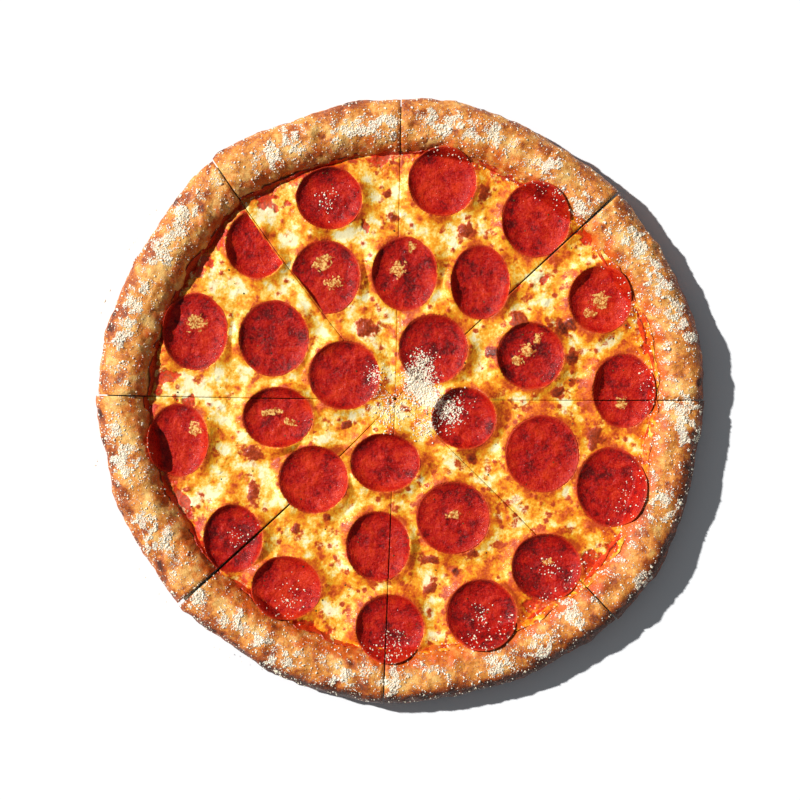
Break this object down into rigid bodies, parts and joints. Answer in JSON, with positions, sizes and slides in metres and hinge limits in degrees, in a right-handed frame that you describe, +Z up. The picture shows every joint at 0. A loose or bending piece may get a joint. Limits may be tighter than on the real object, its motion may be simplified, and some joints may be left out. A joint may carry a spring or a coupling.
{
  "type": "pepperoni pizza",
  "caption": "Whole round pizza with a raised browned crust, melted cheese, cupped pepperoni slices and grated cheese, cut into wedges that lie together.",
  "frame": {"origin": "middle of the pizza's outline, on the surface that it lies on", "axes": "+Z up through the thickness; +X to the right and +Y away as seen in the picture from above"},
  "size_m": [0.358, 0.3556, 0.0257],
  "materials": {
    "baked_dough": "matte",
    "tomato_sauce": "glossy",
    "melted_cheese": "satin",
    "pepperoni": "glossy"
  },
  "bodies": {
    "root": {"crust_1": "baked_dough", "crust_2": "baked_dough", "crust_3": "baked_dough", "crust_4": "baked_dough", "crust_5": "baked_dough", "crust_6": "baked_dough", "crust_7": "baked_dough", "crust_8": "baked_dough", "sauce_1": "tomato_sauce", "sauce_2": "tomato_sauce", "sauce_3": "tomato_sauce", "sauce_4": "tomato_sauce", "sauce_5": "tomato_sauce", "sauce_6": "tomato_sauce", "sauce_7": "tomato_sauce", "sauce_8": "tomato_sauce", "cheese_1": "melted_cheese", "cheese_2": "melted_cheese", "cheese_3": "melted_cheese", "cheese_4": "melted_cheese", "cheese_5": "melted_cheese", "cheese_6": "melted_cheese", "cheese_7": "melted_cheese", "cheese_8": "melted_cheese", "pepperoni_01": "pepperoni", "pepperoni_02": "pepperoni", "pepperoni_03": "pepperoni", "pepperoni_04": "pepperoni", "pepperoni_05": "pepperoni", "pepperoni_06": "pepperoni", "pepperoni_07": "pepperoni", "pepperoni_08": "pepperoni", "pepperoni_09": "pepperoni", "pepperoni_10": "pepperoni", "pepperoni_11": "pepperoni", "pepperoni_12": "pepperoni", "pepperoni_13": "pepperoni", "pepperoni_14_left": "pepperoni", "pepperoni_14_right": "pepperoni", "pepperoni_15_left": "pepperoni", "pepperoni_15_right": "pepperoni", "pepperoni_16": "pepperoni", "pepperoni_17": "pepperoni", "pepperoni_18": "pepperoni", "pepperoni_19": "pepperoni", "pepperoni_20": "pepperoni", "pepperoni_21": "pepperoni", "pepperoni_22": "pepperoni", "pepperoni_23_left": "pepperoni", "pepperoni_23_right": "pepperoni", "pepperoni_24_left": "pepperoni", "pepperoni_24_right": "pepperoni", "pepperoni_25": "pepperoni", "pepperoni_26": "pepperoni", "pepperoni_27_left": "pepperoni", "pepperoni_27_right": "pepperoni", "pepperoni_28": "pepperoni"}
  },
  "joints": []
}
